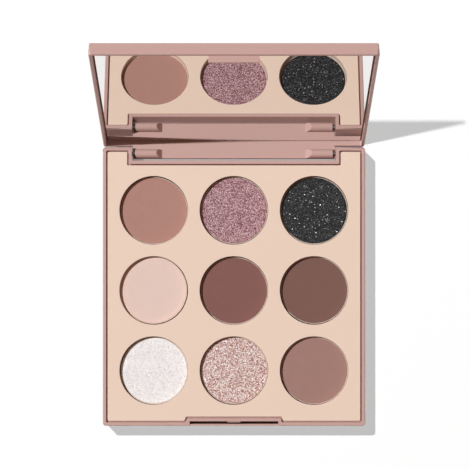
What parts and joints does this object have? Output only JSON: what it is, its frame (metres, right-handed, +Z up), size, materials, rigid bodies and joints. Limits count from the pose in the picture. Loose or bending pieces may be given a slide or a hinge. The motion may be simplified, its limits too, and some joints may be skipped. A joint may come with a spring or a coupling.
{
  "type": "eyeshadow palette",
  "caption": "Flat square makeup palette with a hinged mirror lid, a tray of round pressed-powder pans and a snap latch at the front.",
  "frame": {"origin": "centre of the base's underside", "axes": "+Z up from the resting face, +Y towards the hinge, +X to the right as the user faces the open palette"},
  "size_m": [0.103, 0.1428, 0.1109],
  "materials": {
    "case_plastic": "fine satin moulding",
    "tray_plastic": "matte moulding",
    "pan_metal": "bare stamped",
    "powder_taupe": "matte pressed powder",
    "powder_mauve": "shimmer pressed powder",
    "powder_black": "glitter pressed powder",
    "powder_pale_pink": "matte pressed powder",
    "powder_plum": "matte pressed powder",
    "powder_brown": "matte pressed powder",
    "powder_pearl": "shimmer pressed powder",
    "powder_rose": "shimmer pressed powder",
    "powder_rose_brown": "matte pressed powder",
    "adhesive": "tacky pad",
    "pin_steel": "bright drawn wire",
    "mirror_glass": "silvered glass",
    "tape": "foam tape"
  },
  "bodies": {
    "base": {"base_shell": "case_plastic", "pan_tray": "tray_plastic", "pans_back_row": "pan_metal", "pans_middle_row": "pan_metal", "pans_front_row": "pan_metal", "powder_back_left": "powder_taupe", "powder_back_centre": "powder_mauve", "powder_back_right": "powder_black", "powder_middle_left": "powder_pale_pink", "powder_middle_centre": "powder_plum", "powder_middle_right": "powder_brown", "powder_front_left": "powder_pearl", "powder_front_centre": "powder_rose", "powder_front_right": "powder_rose_brown", "adhesive_pads": "adhesive", "hinge_pin_left": "pin_steel", "hinge_pin_right": "pin_steel"},
    "lid": {"lid_shell": "case_plastic", "lid_mirror": "mirror_glass", "mirror_tape": "tape"}
  },
  "joints": [
    {"name": "lid_hinge", "type": "hinge", "parent": "base", "child": "lid", "pos_m": [0, 0.05225, 0.0087], "axis": [-1, 0, 0], "range_deg": [-105.3, 0]}
  ]
}
